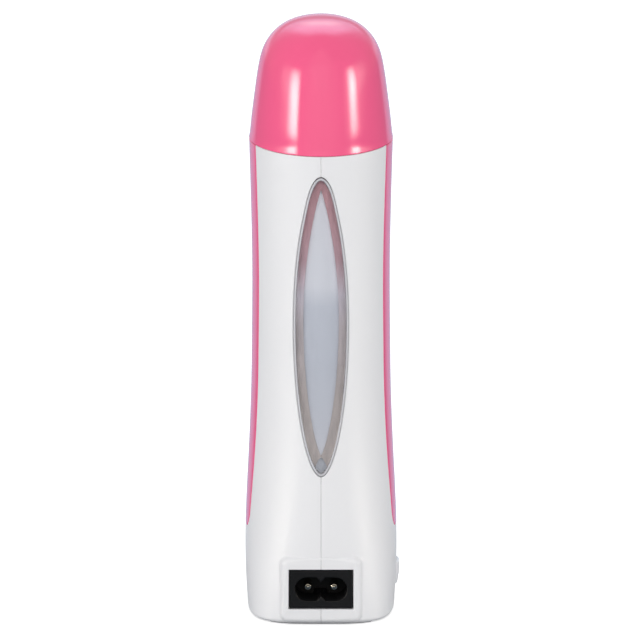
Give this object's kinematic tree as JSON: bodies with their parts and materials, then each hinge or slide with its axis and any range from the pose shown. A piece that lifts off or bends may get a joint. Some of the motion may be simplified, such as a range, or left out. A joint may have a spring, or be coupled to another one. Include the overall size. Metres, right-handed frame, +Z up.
{
  "type": "roll-on wax heater",
  "caption": "Handheld roll-on wax cartridge heater: oval two-part housing, lift-off domed cap, leaf-shaped sight window, appliance inlet and rocker switch.",
  "frame": {"origin": "centre of the base on the surface the heater stands on", "axes": "+Z up to the cap, -Y the back with window and inlet, +X the flank with the switch"},
  "size_m": [0.0506, 0.0716, 0.196],
  "materials": {
    "white_abs": "moulded, satin gloss",
    "pink_abs": "moulded, satin gloss",
    "pink_abs_gloss": "moulded, high gloss",
    "white_polypropylene": "moulded",
    "clear_polycarbonate": "clear, polished",
    "brown_silicone": "moulded silicone",
    "frosted_polycarbonate": "frosted",
    "aluminium": "drawn",
    "cast_aluminium": "cast, machined seat",
    "polyimide_film": "film",
    "ceramic": "fired",
    "nickel_plate": "nickel plated",
    "fuse_sleeve": "glass fibre sleeve",
    "spring_steel": "rolled",
    "zinc_steel": "zinc plated",
    "black_nylon": "moulded",
    "brass": "stamped",
    "white_rocker": "moulded",
    "grey_rubber": "die cut",
    "brown_wire": "extruded insulation",
    "blue_wire": "extruded insulation"
  },
  "bodies": {
    "housing": {"left_shell": "white_abs", "right_shell": "white_abs", "left_side_panel": "pink_abs", "right_side_panel": "pink_abs", "cartridge_collar": "white_polypropylene", "window_lens": "clear_polycarbonate", "window_gasket": "brown_silicone", "sight_pane": "frosted_polycarbonate", "heating_sleeve": "aluminium", "pocket_floor": "cast_aluminium", "insulation_wrap": "polyimide_film", "heating_element": "ceramic", "thermostat": "nickel_plate", "thermal_fuse": "fuse_sleeve", "spring_bridge": "spring_steel", "bridge_screw_back": "zinc_steel", "bridge_screw_front": "zinc_steel", "shell_screw_back": "zinc_steel", "shell_screw_front": "zinc_steel", "inlet_body": "black_nylon", "inlet_pin_left": "nickel_plate", "inlet_pin_right": "nickel_plate", "switch_body": "black_nylon", "switch_terminal_lower": "brass", "switch_terminal_upper": "brass", "base_pad": "grey_rubber", "wire_inlet_to_switch": "brown_wire", "wire_switch_to_fuse": "brown_wire", "wire_fuse_to_heater": "brown_wire", "wire_heater_to_thermostat": "blue_wire", "wire_thermostat_to_inlet": "blue_wire"},
    "cap": {"cap": "pink_abs_gloss"},
    "rocker": {"switch_rocker": "white_rocker"}
  },
  "joints": [
    {"name": "cap_lift", "type": "slide", "parent": "housing", "child": "cap", "axis": [0, 0, 1], "range_m": [0, 0.06]},
    {"name": "rocker_tilt", "type": "hinge", "parent": "housing", "child": "rocker", "pos_m": [0.02096, 0, 0.0109], "axis": [0, -1, 0], "range_deg": [0, 8]}
  ]
}
